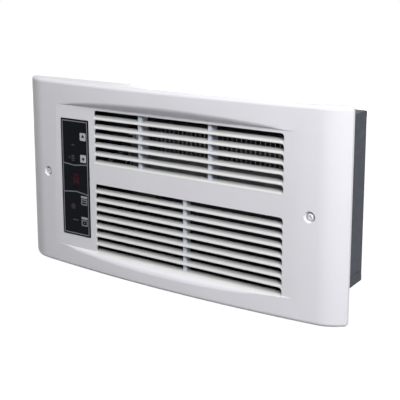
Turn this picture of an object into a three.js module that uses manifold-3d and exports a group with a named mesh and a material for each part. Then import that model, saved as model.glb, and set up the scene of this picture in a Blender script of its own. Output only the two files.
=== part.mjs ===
// Recessed bathroom wall fan heater: a folded steel wall can that holds a cross-flow blower,
// its motor and a finned element, behind a bowed, louvred grille with a touch control strip.
// Millimetres. +X right, -Y out of the wall towards the room, +Z up.
// The origin is the centre of the can's rear outer face.

import * as THREE from 'three';
import { mergeVertices } from 'three/addons/utils/BufferGeometryUtils.js';
import Module from 'manifold-3d';

const wasm = await Module();
wasm.setup();

// ---------------------------------------------------------------- driving dimensions

const gap = 0.3;                    // clearance between pieces that rest on each other
const runningGap = 0.15;            // radial clearance of a turning shaft

// Wall can
const canWidth = 366;               // fills a 14 1/2 in stud bay
const canHeight = 192;
const canDepth = 100;               // its rim is flush with the wall's face
const canSheet = 1;
const canBend = 2.5;                // outside radius of the folded edges
const earLength = 17;               // screw ears folded in from the side walls
const earHeight = 24;
const studHoleRadius = 2.6;
const studHoleSpacing = 120;
const studHoleDepths = [36, 82];    // from the rear face
const knockoutX = -80;
const knockoutRadius = 11.1;
const knockoutGroove = 0.8;
const knockoutGrooveDepth = 0.5;
const weldNutRadius = 4;
const weldNutHeight = 4;

// Grille
const grilleWidth = 425.5;
const grilleHeight = 225.4;
const grilleRise = 4.6;             // its centre above the can's centre
const grilleWall = 2.2;
const edgeDepth = 3.7;              // thickness of its left and right edges
const bowRise = 12.1;               // gentle bow across the whole width
const rollRise = 11.3;              // extra depth gained over the rolled ends
const rollLength = 29.5;
const rollPower = 2.2;
const edgeFillet = 4.5;
const filletSteps = 4;              // flats round the quarter turn of an eased edge
const bowSteps = 28;
const rollSteps = 8;

// Recessed louvre panel (heights are measured from the grille's centre)
const panelProud = 20.4;
const recessTop = 84.7;
const recessBottom = -87.6;
const recessFlare = 1.12;           // rise of its sloped walls per millimetre of depth

// Louvres
const slotInsetLeft = 112.45;       // from the grille's left edge
const slotInsetRight = 65.75;
const slotOpening = 10;             // cut in the panel, before its blade fills the lower part
const slotPitch = 10.6;
const slotCornerRadius = 3.4;
const upperSlotTop = 81.7;
const upperSlotCount = 6;
const lowerSlotTop = -5.1;
const lowerSlotCount = 8;
const bladeDepth = 6.3;
const bladeCrown = 3;               // rise of the rounded front of a blade
const bladeSlope = 0.16;            // further rise per millimetre of depth
const bladeTail = 1.2;
const bladeSteps = 6;
const ribThickness = 3.6;
const upperRibDepth = 15.5;
const lowerRibDepth = 11.5;
const upperRibs = [64.3, 157.3];    // from the left end of the slots
const lowerRibs = [124.8];
const ribSetback = 2.4;             // the blades' fronts run past the ribs

// Grille screws
const grilleScrewInset = 7;         // inside the can's side
const screwBossRadius = 8;
const dimpleRadius = 6.2;
const dimpleFloorRadius = 4.8;
const dimpleDepth = 4;
const grilleScrewRadius = 2;
const grilleScrewHeadRadius = 4.1;
const grilleScrewHeadHeight = 2.4;
const grilleScrewReach = 8;         // past the wall plane
const crossWidth = 0.9;             // cross recess in the head
const crossLength = 4.4;
const crossDepth = 1.1;

// Control strip
const bezelInset = 61.45;           // from the grille's left edge
const bezelWidth = 42.5;
const bezelTop = 68.4;
const bezelHeight = 140.8;
const bezelProud = 0.5;
const bezelCorner = 1.2;
const keyWidth = 9.6;
const keyHeight = 11.2;
const keyInset = 34.1;              // key and display centres, from the strip's left edge
const keyHeights = { key_up: 48.6, key_down: 22.6, key_mode: -28.2, key_power: -53.8 };
const keyProud = 0.3;
const keyTravel = 0.6;
const keyLip = 0.9;
const keyLipThickness = 1.2;
const keyStemRadius = 1.6;
const keyStemSink = 1.5;            // how far the stem reaches into its switch
const switchSize = 6.2;
const switchHeight = 3.5;
const displayWidth = 14.5;
const displayHeight = 18;
const displayInset = 19.4;
const displayCentreZ = -4.2;
const displayLip = 1;

// Control housing behind the strip
const housingMargin = 2;
const housingWall = 1.5;
const housingDepth = 15;
const housingPostHeight = 3;
const housingPostRadius = 2.6;
const housingEarLength = 10;
const ribbonWidth = 8;
const ribbonThickness = 1;
const grillePostRadius = 3.2;
const grillePostHeight = 5;
const smallScrewRadius = 1.2;
const boardThickness = 1.6;
const boardClearance = 0.5;
const sensorX = -146;
const sensorStalkRadius = 0.9;
const sensorBeadRadius = 2;
const sensorReach = 7;

// Blower
const axisY = -46;
const axisZ = 26;
const wheelRadius = 28;
const wheelInnerRadius = 21;
const wheelBladeCount = 22;
const wheelBladeThickness = 1.1;
const wheelDisc = 1.6;
const wheelSideGap = 4;
const wheelRingCount = 1;
const shaftRadius = 3;
const hubRadius = 7;
const hubLength = 14;
const endPlate = 1.2;
const scrollSheet = 1;
const scrollStartAngle = -75;
const scrollStartGap = 3;
const scrollGrowth = 15;
const scrollLipLength = 9;
const tongueAngle = 165;
const tongueGap = 3;
const deckReach = 16;               // how far the deck passes the wall plane
const deckClearance = 3;            // under the fins and under the upper louvres
const roofClearance = 2;
const plateSkirt = 12;              // end plates reach this far below the wheel
const footWidth = 13;
const footScrewInset = 8;
const footScrewHeights = [-4, 62];
const scrollSteps = 16;
const wheelBladeSweep = 14;
const bearingRadius = 8;
const bearingFlange = 10.5;
const bearingReach = 4.5;

// Heating element
const finLeft = -48;
const finRight = 148;
const finPitch = 5.8;
const finThickness = 0.6;
const finHeight = 30;
const finDepth = 20;
const finSideGap = 2.5;
const elementZ = 57;
const elementFrontY = -100;
const sheathRadius = 4;
const sheathOverhang = 15;
const bushingRadius = 7;
const bushingFlange = 10;
const bushingFlangeThickness = 2.4;
const terminalRadius = 1.6;
const terminalLength = 9;

// Motor
const stackThickness = 20;
const stackWidth = 44;
const stackTop = 22;                // above the shaft
const stackBottom = 46;             // below the shaft
const stackToPlate = 16;            // free length between the stack and the end plate
const rotorRadius = 13.2;
const coilBarHeight = 11;
const coilBarWidth = 22;
const coilThickness = 8;
const bridgeWidth = 14;
const bridgeSheet = 1.6;
const bridgeRise = 7;
const bridgeBearingRadius = 6;
const bridgeBossReach = 3;
const motorBoltOffset = 17.8;
const motorBoltRadius = 2;
const spacerRadius = 4;
const boltHeadRadius = 4;
const boltHeadHeight = 3;

// Electrical pieces on the can's rear wall
const powerTray = { x: -144, z: 34, width: 60, height: 64, sheet: 2, post: 6, postRadius: 3 };
const relay = { x: -158, z: 20, width: 16, height: 20, depth: 16 };
const transformer = { x: -133, z: 46, width: 28, height: 24, depth: 20 };
const terminalBlock = { x: -134, z: -62, width: 34, height: 22, depth: 18, poles: 3 };
const groundScrew = { x: -100, z: -62 };
const panHeadRadius = 3.6;
const panHeadHeight = 2.2;
const panShankRadius = 1.5;
const cutout = {
  y: -66, z: 61, radius: 8, depth: 10, earSpan: 26, earWidth: 9, ear: 1.2, blade: 7, bladeOffset: 4,
};

// Leads inside the can
const leadRadius = 1.3;
const leadSag = 16;                 // how far a lead swings clear of what it joins
const leadStub = 3;                 // straight where it leaves a terminal
const leadSides = 6;
const jointInset = 6;               // the board's lower joints, above its lower edge
const supplyJointOffset = 5;        // each side of the terminal block's middle
const returnJointOffset = 10.4;     // the return lead's joint, right of that middle
const relayJointOffset = 36.8;      // the relay's output joint, right of the relay's middle
const motorJointInset = 4;          // from the board tray's right edge

// ---------------------------------------------------------------- derived planes

const wallPlane = -canDepth;
const grilleScrewX = canWidth / 2 - grilleScrewInset;
const panelFace = wallPlane - panelProud;
const panelBack = panelFace + grilleWall;
const slotLeft = slotInsetLeft - grilleWidth / 2;
const slotRight = grilleWidth / 2 - slotInsetRight;
const canInnerBack = -canSheet;
const weldNutTop = canInnerBack - weldNutHeight;
const bezelFront = panelFace - bezelProud;
const bezelLeft = bezelInset - grilleWidth / 2;
const bezelRight = bezelLeft + bezelWidth;
const bezelBottom = bezelTop - bezelHeight;
const bezelCentreX = bezelLeft + bezelWidth / 2;
const keyCentreX = bezelLeft + keyInset;
const displayCentreX = bezelLeft + displayInset;
const bezelCentreZ = grilleRise + bezelTop - bezelHeight / 2;
const housingFront = panelBack + gap;
const housingRear = housingFront + housingDepth;
const housingFloor = housingRear - housingWall;
const boardRear = housingFloor - housingPostHeight - gap;
const boardFront = boardRear - boardThickness;
const switchFront = boardFront - gap - switchHeight;
const leftPlateX = finLeft - finSideGap;
const rightPlateX = finRight + finSideGap;
const plateRear = weldNutTop - gap;
const plateFront = elementFrontY - 1;
const elementY = elementFrontY + finDepth / 2;
const stackRight = leftPlateX - endPlate - stackToPlate;
const stackLeft = stackRight - stackThickness;

// ---------------------------------------------------------------- materials

function material(color, roughness, metalness) {
  return new THREE.MeshStandardMaterial({ color, roughness, metalness });
}

const materials = {
  white: material(0xd7d7dc, 0.42, 0),
  darkSteel: material(0x54575e, 0.55, 0.3),
  black: material(0x0b0d10, 0.12, 0),
  smoke: material(0x14090a, 0.08, 0),
  keyGrey: material(0x9a9ea2, 0.35, 0),
  plastic: material(0x2a2c2f, 0.6, 0),
  board: material(0x1d5a37, 0.5, 0),
  galvanised: material(0xa7abad, 0.45, 0.9),
  aluminium: material(0xc3c6c8, 0.35, 1),
  sheath: material(0x6c6a66, 0.5, 0.8),
  ceramic: material(0xe9e5da, 0.5, 0),
  copper: material(0xb06a3c, 0.4, 0.6),
  screw: material(0xb9bbbd, 0.3, 1),
  relay: material(0x23446e, 0.45, 0),
  rubber: material(0x18181a, 0.85, 0),
  leadWhite: material(0xd2cfc6, 0.5, 0),
};

// ---------------------------------------------------------------- solids

const axes = {
  x: new THREE.Matrix4().makeBasis(
    new THREE.Vector3(0, 1, 0), new THREE.Vector3(0, 0, 1), new THREE.Vector3(1, 0, 0)),
  y: new THREE.Matrix4().makeBasis(
    new THREE.Vector3(1, 0, 0), new THREE.Vector3(0, 0, 1), new THREE.Vector3(0, -1, 0)),
  z: new THREE.Matrix4(),
};

function solidFrom(geometry) {
  const bare = geometry.clone();
  bare.deleteAttribute('normal');
  bare.deleteAttribute('uv');
  const merged = mergeVertices(bare, 1e-4);
  const index = merged.index.array;
  const triangles = [];
  for (let i = 0; i < index.length; i += 3) {
    const [a, b, c] = [index[i], index[i + 1], index[i + 2]];
    if (a !== b && b !== c && c !== a) triangles.push(a, b, c);
  }
  return new wasm.Manifold(new wasm.Mesh({
    numProp: 3,
    vertProperties: new Float32Array(merged.attributes.position.array),
    triVerts: new Uint32Array(triangles),
  }));
}

// A closed outline, given as [u, v] points, with optional holes.
function outline(points, holes = []) {
  const shape = new THREE.Shape(points.map(([u, v]) => new THREE.Vector2(u, v)));
  shape.holes = holes.map((hole) => new THREE.Path(hole.map(([u, v]) => new THREE.Vector2(u, v))));
  return shape;
}

function circlePoints(u, v, radius, segments = 20) {
  return Array.from({ length: segments }, (_, i) => {
    const angle = (i / segments) * 2 * Math.PI;
    return [u + radius * Math.cos(angle), v + radius * Math.sin(angle)];
  });
}

function roundedRectangle(left, right, bottom, top, radius, segments = 3) {
  const corners = [[right, top, 0], [left, top, 90], [left, bottom, 180], [right, bottom, 270]];
  const points = [];
  for (const [u, v, start] of corners) {
    const centreU = u + (u === right ? -radius : radius);
    const centreV = v + (v === top ? -radius : radius);
    for (let i = 0; i <= segments; i += 1) {
      const angle = THREE.MathUtils.degToRad(start + (90 * i) / segments);
      points.push([centreU + radius * Math.cos(angle), centreV + radius * Math.sin(angle)]);
    }
  }
  return points;
}

// Extrudes an outline along one axis from one coordinate to another. The outline is read as
// (y, z) along x, as (x, z) along y and as (x, y) along z.
function prism(axis, shape, from, to, bevel = 0) {
  const geometry = new THREE.ExtrudeGeometry(shape, {
    depth: Math.abs(to - from) - 2 * bevel,
    bevelEnabled: bevel > 0,
    bevelThickness: bevel,
    bevelSize: bevel,
    bevelOffset: -bevel,
    bevelSegments: filletSteps,
    curveSegments: 12,
  });
  geometry.translate(0, 0, bevel);
  geometry.applyMatrix4(axes[axis]);
  const start = axis === 'y' ? Math.max(from, to) : Math.min(from, to);
  const shift = { x: [start, 0, 0], y: [0, start, 0], z: [0, 0, start] }[axis];
  geometry.translate(...shift);
  return solidFrom(geometry);
}

function block(x0, x1, y0, y1, z0, z1) {
  const geometry = new THREE.BoxGeometry(Math.abs(x1 - x0), Math.abs(y1 - y0), Math.abs(z1 - z0));
  geometry.translate((x0 + x1) / 2, (y0 + y1) / 2, (z0 + z1) / 2);
  return solidFrom(geometry);
}

// A round bar along an axis through the point (u, v), read as the outline of a prism is.
function bar(axis, u, v, radius, from, to, segments = 16) {
  return prism(axis, outline(circlePoints(u, v, radius, segments)), from, to);
}

// A turned piece: [radius, station] pairs, with the stations along the given axis.
function turned(axis, profile, u, v, segments = 16) {
  const points = profile.map(([radius, station]) => new THREE.Vector2(radius, station));
  const geometry = new THREE.LatheGeometry(points, segments);
  if (axis === 'x') geometry.rotateZ(-Math.PI / 2);
  if (axis === 'z') geometry.rotateX(Math.PI / 2);
  const shift = { x: [0, u, v], y: [u, 0, v], z: [u, v, 0] }[axis];
  geometry.translate(...shift);
  return solidFrom(geometry);
}

function union(solids) {
  return solids.reduce((whole, next) => whole.add(next));
}

function without(solid, cutters) {
  return cutters.reduce((left, cutter) => left.subtract(cutter), solid);
}

const heater = new THREE.Group();

function addPart(name, solid, look) {
  const { vertProperties, triVerts } = solid.getMesh();
  const geometry = new THREE.BufferGeometry();
  geometry.setAttribute('position', new THREE.BufferAttribute(new Float32Array(vertProperties), 3));
  geometry.setIndex(new THREE.BufferAttribute(new Uint32Array(triVerts), 1));
  geometry.computeVertexNormals();
  const mesh = new THREE.Mesh(geometry, look);
  mesh.name = name;
  heater.add(mesh);
}

// ---------------------------------------------------------------- wall can

const canHalfWidth = canWidth / 2;
const canHalfHeight = canHeight / 2;
const grilleScrewY = wallPlane - bowDepth(grilleScrewX);

function knockout(axis, u, v, face) {
  const ring = outline(circlePoints(u, v, knockoutRadius, 16), [
    circlePoints(u, v, knockoutRadius - knockoutGroove, 16)]);
  return prism(axis, ring, face - knockoutGrooveDepth, face + knockoutGrooveDepth);
}

function wallCan() {
  const outside = outline(roundedRectangle(
    -canHalfWidth, canHalfWidth, -canHalfHeight, canHalfHeight, canBend));
  const innerX = canHalfWidth - canSheet;
  const innerZ = canHalfHeight - canSheet;
  const inside = outline(roundedRectangle(-innerX, innerX, -innerZ, innerZ, canBend - canSheet));
  const shell = prism('y', outside, 0, wallPlane).subtract(
    prism('y', inside, canInnerBack, wallPlane - canSheet));

  const ears = [-1, 1].map((side) => block(
    side * (canHalfWidth - earLength), side * (innerX + canSheet / 2),
    wallPlane, wallPlane + canSheet, grilleRise - earHeight / 2, grilleRise + earHeight / 2));
  const nuts = weldNutPlaces().map(([x, z]) => bar(
    'y', x, z, weldNutRadius, canInnerBack + canSheet / 2, weldNutTop, 12));

  const cuts = [];
  for (const side of [-1, 1]) {
    cuts.push(bar('y', side * grilleScrewX, grilleRise, grilleScrewRadius + gap,
      wallPlane - canSheet, wallPlane + 2 * canSheet, 12));
    for (const depth of studHoleDepths) {
      for (const z of [-studHoleSpacing / 2, studHoleSpacing / 2]) {
        const x = side * canHalfWidth;
        cuts.push(bar('x', -depth, z, studHoleRadius, x - 2 * canSheet, x + 2 * canSheet, 10));
      }
    }
    cuts.push(knockout('z', knockoutX, -canDepth / 2, side * canHalfHeight));
  }
  for (const z of [-1, 1]) cuts.push(knockout('y', knockoutX, z * canHeight / 4, 0));
  for (const [x, z] of weldNutPlaces()) {
    cuts.push(bar('y', x, z, panShankRadius + gap, canInnerBack, weldNutTop - 1, 8));
  }
  return without(union([shell, ...ears, ...nuts]), cuts);
}

function weldNutPlaces() {
  const places = footScrewPlaces();
  places.push([groundScrew.x, groundScrew.z]);
  return places;
}

// The blower's two feet turn outwards from its end plates and are screwed down twice each.
function footScrewPlaces() {
  const places = [];
  for (const side of [-1, 1]) {
    const plateX = side < 0 ? leftPlateX : rightPlateX;
    for (const z of footScrewHeights) {
      places.push([plateX + side * (endPlate + footScrewInset), z]);
    }
  }
  return places;
}

// ---------------------------------------------------------------- front grille

// How far the grille's face stands in front of the wall at a given x: a gentle bow, with both
// ends rolled back towards the wall.
function bowDepth(x) {
  const halfWidth = grilleWidth / 2;
  const across = Math.min(1, Math.abs(x) / halfWidth);
  const roll = Math.max(0, (across * halfWidth - halfWidth + rollLength) / rollLength);
  return edgeDepth + bowRise * (1 - across ** 2) + rollRise * (1 - roll ** rollPower);
}

function bowStations() {
  const halfWidth = grilleWidth / 2;
  const rollStart = halfWidth - rollLength;
  const stations = [];
  for (let i = 0; i < rollSteps; i += 1) stations.push(-halfWidth + (rollLength * i) / rollSteps);
  for (let i = 0; i <= bowSteps; i += 1) stations.push(rollStart * ((2 * i) / bowSteps - 1));
  for (let i = 1; i <= rollSteps; i += 1) stations.push(rollStart + (rollLength * i) / rollSteps);
  return stations;
}

// The bowed outline seen from above, closed past the wall plane at the given y.
function bowOutline(inset, backY) {
  const halfWidth = grilleWidth / 2;
  const squeeze = (halfWidth - inset) / halfWidth;
  const points = bowStations().map((x) => [x * squeeze, wallPlane - bowDepth(x) + inset]);
  points.push([halfWidth - inset, backY], [inset - halfWidth, backY]);
  return outline(points);
}

// The recess as a (y, z) outline, grown outwards into the material by the given wall.
function recessOutline(wall) {
  const floor = panelFace + wall;
  const reach = 2 * (bowRise + rollRise);
  const slopeShift = wall * (Math.hypot(1, recessFlare) - recessFlare);
  const top = grilleRise + recessTop + slopeShift;
  const bottom = grilleRise + recessBottom - slopeShift;
  return outline([
    [floor, bottom], [floor, top],
    [floor - reach, top + recessFlare * reach], [floor - reach, bottom - recessFlare * reach]]);
}

const banks = [
  { top: grilleRise + upperSlotTop, count: upperSlotCount, ribs: upperRibs, ribDepth: upperRibDepth },
  { top: grilleRise + lowerSlotTop, count: lowerSlotCount, ribs: lowerRibs, ribDepth: lowerRibDepth },
];

// One louvre opening, with its two upper corners rounded.
function slotCutter(top) {
  const bottom = top - slotOpening;
  const r = slotCornerRadius;
  const points = [[slotLeft, bottom], [slotRight, bottom]];
  for (let i = 0; i <= 3; i += 1) {
    const angle = (i / 3) * (Math.PI / 2);
    points.push([slotRight - r + r * Math.cos(angle), top - r + r * Math.sin(angle)]);
  }
  for (let i = 0; i <= 3; i += 1) {
    const angle = (1 + i / 3) * (Math.PI / 2);
    points.push([slotLeft + r + r * Math.cos(angle), top - r + r * Math.sin(angle)]);
  }
  return prism('y', outline(points), panelBack + bladeDepth, panelFace - grilleWall);
}

// One louvre blade: its front swells up and back from the lip under its opening, then it runs
// on into the heater on a gentle slope.
function blade(lipTop) {
  const lip = slotPitch - slotOpening;
  const upper = [];
  for (let i = 0; i <= bladeSteps; i += 1) {
    const angle = (i / bladeSteps) * (Math.PI / 2);
    const depth = bladeDepth * (1 - Math.cos(angle));
    upper.push([depth, bladeCrown * Math.sin(angle) + bladeSlope * depth]);
  }
  const rear = upper[bladeSteps][1] - bladeTail;
  const under = [[bladeDepth, rear], [0.5 * bladeDepth, 0.6 * rear], [0.3 * bladeDepth, -lip]];
  const section = outline([[0, -lip], ...upper, ...under].map(
    ([depth, z]) => [panelFace + depth, lipTop + z]));
  return prism('x', section, slotLeft - bladeTail / 2, slotRight + bladeTail / 2);
}

function louvreBank(bank) {
  const tops = Array.from({ length: bank.count }, (_, i) => bank.top - i * slotPitch);
  const bottom = tops[tops.length - 1] - slotPitch;
  const ribs = bank.ribs.map((x) => block(
    slotLeft + x - ribThickness / 2, slotLeft + x + ribThickness / 2,
    panelFace + ribSetback, panelFace + bank.ribDepth, bottom, bank.top + grilleWall));
  return {
    openings: tops.map(slotCutter),
    bars: [...tops.map((top) => blade(top - slotOpening)), ...ribs],
  };
}

function frontGrille() {
  const low = grilleRise - grilleHeight / 2;
  const high = grilleRise + grilleHeight / 2;
  const wide = grilleWidth;
  const behindWall = block(-wide, wide, wallPlane, wallPlane + wide, 2 * low, 2 * high);
  const outer = prism('z', bowOutline(0, wallPlane + 4 * edgeFillet), low, high, edgeFillet)
    .subtract(behindWall);
  const across = [-wide, wide];
  const hollow = prism('z', bowOutline(grilleWall, wallPlane + grilleWall),
    low + grilleWall, high - grilleWall).subtract(prism('x', recessOutline(grilleWall), ...across));
  const shell = outer.subtract(prism('x', recessOutline(0), ...across)).subtract(hollow);

  const bossFront = wallPlane - bowDepth(grilleScrewX) - dimpleRadius;
  const bosses = [-1, 1].map((side) => bar('y', side * grilleScrewX, grilleRise, screwBossRadius,
    wallPlane - gap, bossFront, 20).intersect(outer));
  const posts = housingScrewHeights.map((z) => bar('y', bezelCentreX, z, grillePostRadius,
    panelBack + grillePostHeight, panelFace + grilleWall / 2, 16));

  const cuts = [];
  for (const side of [-1, 1]) {
    cuts.push(turned('y', [
      [0, bossFront], [dimpleRadius + dimpleRadius / 4, bossFront],
      [dimpleRadius, grilleScrewY], [dimpleFloorRadius, grilleScrewY + dimpleDepth],
      [0, grilleScrewY + dimpleDepth]], side * grilleScrewX, grilleRise, 20));
    cuts.push(bar('y', side * grilleScrewX, grilleRise, grilleScrewRadius + gap,
      wallPlane + 1, bossFront, 16));
  }
  const window = roundedRectangle(bezelLeft - gap, bezelRight + gap,
    grilleRise + bezelBottom - gap, grilleRise + bezelTop + gap, bezelCorner);
  cuts.push(prism('y', outline(window), panelBack + 1, panelFace - 2 * grilleWall));
  for (const z of housingScrewHeights) {
    cuts.push(bar('y', bezelCentreX, z, smallScrewRadius + gap,
      panelBack + grillePostHeight + 1, panelBack + 1, 12));
  }

  const louvres = banks.map(louvreBank);
  const cut = without(union([shell, ...bosses, ...posts]), [
    ...cuts, ...louvres.flatMap((bank) => bank.openings)]);
  return union([cut, ...louvres.flatMap((bank) => bank.bars)]);
}

// A pan-head screw along y, with its head's underside at seatY.
function panScrew(headRadius, headHeight, shankRadius, x, z, seatY, tipY, segments = 8) {
  const rim = headHeight * 0.4;
  return turned('y', [
    [0, seatY - headHeight], [0.6 * headRadius, seatY - headHeight], [headRadius, seatY - rim],
    [headRadius, seatY], [shankRadius, seatY], [shankRadius, tipY - shankRadius / 2],
    [shankRadius / 2, tipY], [0, tipY]], x, z, segments);
}

function grilleScrew(side) {
  const [x, seat] = [side * grilleScrewX, grilleScrewY + dimpleDepth - gap];
  const crown = seat - grilleScrewHeadHeight;
  const screw = panScrew(grilleScrewHeadRadius, grilleScrewHeadHeight, grilleScrewRadius,
    x, grilleRise, seat, wallPlane + grilleScrewReach, 16);
  const arms = [[crossWidth, crossLength], [crossLength, crossWidth]].map(([width, height]) => block(
    x - width / 2, x + width / 2, crown - 1, crown + crossDepth,
    grilleRise - height / 2, grilleRise + height / 2));
  return without(screw, arms);
}

// ---------------------------------------------------------------- control strip

function keyAperture(z, grow) {
  return roundedRectangle(keyCentreX - keyWidth / 2 - grow, keyCentreX + keyWidth / 2 + grow,
    z - keyHeight / 2 - grow, z + keyHeight / 2 + grow, 0.8 + grow, 2);
}

function displayOutline(grow) {
  const z = grilleRise + displayCentreZ;
  return roundedRectangle(displayCentreX - displayWidth / 2 - grow,
    displayCentreX + displayWidth / 2 + grow, z - displayHeight / 2 - grow,
    z + displayHeight / 2 + grow, 0.8 + grow, 2);
}

function controlBezel() {
  const edge = roundedRectangle(bezelLeft, bezelRight,
    grilleRise + bezelBottom, grilleRise + bezelTop, bezelCorner);
  const apertures = Object.values(keyHeights).map((z) => keyAperture(grilleRise + z, gap));
  return prism('y', outline(edge, [...apertures, displayOutline(gap)]), panelBack, bezelFront);
}

// A cap in the strip's aperture, a lip that stops it behind the strip and a stem that runs
// into its switch.
function key(z) {
  const lipFront = panelBack + gap;
  const lipRear = lipFront + keyLipThickness;
  const cap = prism('y', outline(keyAperture(z, 0)), lipRear, bezelFront - keyProud);
  const lip = prism('y', outline(keyAperture(z, keyLip)), lipRear, lipFront);
  const stem = bar('y', keyCentreX, z, keyStemRadius, switchFront + keyStemSink, lipFront, 12);
  return union([cap, lip, stem]);
}

function keySwitch(z) {
  const half = switchSize / 2;
  const body = block(keyCentreX - half, keyCentreX + half, boardFront - gap, switchFront,
    z - half, z + half);
  const bore = keyStemSink + keyTravel + gap;
  return body.subtract(bar('y', keyCentreX, z, keyStemRadius + gap,
    switchFront + bore, switchFront - 1, 12));
}

function displayWindow() {
  const lipFront = panelBack + gap;
  const lipRear = lipFront + displayLip;
  return prism('y', outline(displayOutline(0)), lipRear, bezelFront).add(
    prism('y', outline(displayOutline(displayLip)), lipRear, lipFront));
}

function ledDisplay() {
  const z = grilleRise + displayCentreZ;
  return block(displayCentreX - displayWidth / 2, displayCentreX + displayWidth / 2,
    boardFront - gap, panelBack + displayLip + 2 * gap, z - displayHeight / 2, z + displayHeight / 2);
}

const housingHalfWidth = bezelWidth / 2 + housingMargin;
const housingHalfHeight = bezelHeight / 2 + housingMargin;
const housingScrewHeights = [-1, 1].map((side) =>
  bezelCentreZ + side * (housingHalfHeight + housingEarLength / 2));

function housingPosts() {
  const x = housingHalfWidth - housingWall - boardClearance - housingPostRadius;
  const z = housingHalfHeight - housingWall - boardClearance - housingPostRadius;
  return [[-x, -z], [x, -z], [-x, z], [x, z]].map(([dx, dz]) =>
    [bezelCentreX + dx, bezelCentreZ + dz]);
}

function controlHousing() {
  const wall = housingWall;
  const [halfX, halfZ] = [housingHalfWidth, housingHalfHeight];
  const tray = block(bezelCentreX - halfX, bezelCentreX + halfX, housingRear, housingFront,
    bezelCentreZ - halfZ, bezelCentreZ + halfZ);
  const hollow = block(bezelCentreX - halfX + wall, bezelCentreX + halfX - wall,
    housingFloor, housingFront - wall,
    bezelCentreZ - halfZ + wall, bezelCentreZ + halfZ - wall);
  const posts = housingPosts().map(([x, z]) => bar('y', x, z, housingPostRadius,
    housingFloor + wall / 2, boardRear + gap, 12));
  const earFront = panelBack + grillePostHeight + gap;
  const ears = [-1, 1].map((side) => block(
    bezelCentreX - housingEarLength / 2, bezelCentreX + housingEarLength / 2,
    earFront, earFront + 1.5 * wall,
    bezelCentreZ + side * (halfZ - wall / 2), bezelCentreZ + side * (halfZ + housingEarLength)));
  const holes = housingScrewHeights.map((z) => bar('y', bezelCentreX, z, smallScrewRadius + gap,
    earFront + 2 * wall, earFront - 1, 12));
  const sensorHole = bar('z', sensorX, (boardRear + boardFront) / 2, sensorStalkRadius + gap,
    bezelCentreZ - halfZ - 1, bezelCentreZ - halfZ + 2 * wall, 12);
  const ribbonSlot = block(bezelCentreX - ribbonWidth / 2 - 2 * gap,
    bezelCentreX + ribbonWidth / 2 + 2 * gap, housingFloor - wall, housingRear + wall,
    bezelCentreZ - ribbonThickness, bezelCentreZ + ribbonThickness);
  return without(union([tray.subtract(hollow), ...posts, ...ears]), [
    ...holes, sensorHole, ribbonSlot]);
}

function housingScrew(z) {
  const seat = panelBack + grillePostHeight + 2 * gap + 1.5 * housingWall;
  return turned('y', [
    [0, panelBack + 2], [smallScrewRadius, panelBack + 2], [smallScrewRadius, seat],
    [2 * smallScrewRadius, seat], [2 * smallScrewRadius, seat + 1], [0, seat + 1.6]],
    bezelCentreX, z, 12);
}

function controlBoard() {
  const halfX = housingHalfWidth - housingWall - boardClearance;
  const halfZ = housingHalfHeight - housingWall - boardClearance;
  return block(bezelCentreX - halfX, bezelCentreX + halfX, boardRear, boardFront,
    bezelCentreZ - halfZ, bezelCentreZ + halfZ);
}

// A thermistor bead on a stalk, reaching from the board's lower edge into the intake air.
function temperatureSensor() {
  const top = bezelCentreZ - housingHalfHeight + housingWall + boardClearance - gap;
  const bead = bezelCentreZ - housingHalfHeight - sensorReach;
  const r = sensorBeadRadius;
  return turned('z', [
    [0, bead - r], [0.7 * r, bead - 0.7 * r], [r, bead], [0.7 * r, bead + 0.7 * r],
    [sensorStalkRadius, bead + r], [sensorStalkRadius, top], [0, top]],
    sensorX, (boardRear + boardFront) / 2, 12);
}

// ---------------------------------------------------------------- blower

// The (u, v) outline of a bent sheet whose middle follows the given points.
function sheetOutline(points, thickness) {
  const path = points.map(([u, v]) => new THREE.Vector2(u, v));
  const side = (sign) => path.map((point, i) => {
    const before = i > 0 ? point.clone().sub(path[i - 1]).normalize() : null;
    const after = i < path.length - 1 ? path[i + 1].clone().sub(point).normalize() : null;
    const along = (before ?? after).clone().add(after ?? before).normalize();
    const mitre = 1 / along.dot(after ?? before);
    const offset = (sign * thickness * mitre) / 2;
    return [point.x - along.y * offset, point.y + along.x * offset];
  });
  return outline([...side(1), ...side(-1).reverse()]);
}

function polar(radius, degrees) {
  const angle = THREE.MathUtils.degToRad(degrees);
  return [axisY + radius * Math.cos(angle), axisZ + radius * Math.sin(angle)];
}

const sheetLeft = leftPlateX + gap;
const sheetRight = rightPlateX - gap;
const wheelLeft = leftPlateX + wheelSideGap;
const wheelRight = rightPlateX - wheelSideGap;
const finTop = elementZ + finHeight / 2;
const finBottom = elementZ - finHeight / 2;
const roofZ = finTop + roofClearance;
const plateTop = roofZ + scrollSheet + 1;
const plateBottom = axisZ - wheelRadius - plateSkirt;

function endPlateSolid(side, holes) {
  const inner = side < 0 ? leftPlateX : rightPlateX;
  const outer = inner + side * endPlate;
  const shape = outline([
    [plateRear, plateBottom], [plateRear, plateTop], [plateFront, plateTop],
    [plateFront, finBottom - 8], [axisY - wheelRadius, axisZ], [axisY - wheelRadius, axisZ - 14],
    [axisY - wheelRadius / 2, plateBottom]]);
  const foot = block(inner, outer + side * footWidth, plateRear - endPlate, plateRear,
    footScrewHeights[0] - footScrewInset, footScrewHeights[1] + footScrewInset);
  const screwX = outer + side * footScrewInset;
  const screwHoles = footScrewHeights.map((z) => bar('y', screwX, z, panShankRadius + gap,
    plateRear + 1, plateRear - endPlate - 1, 8));
  const bores = holes.map(([y, z, radius]) => bar('x', y, z, radius, inner - 2 * endPlate,
    inner + 2 * endPlate, 16));
  return without(union([prism('x', shape, inner, outer), foot]), [...screwHoles, ...bores]);
}

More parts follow.
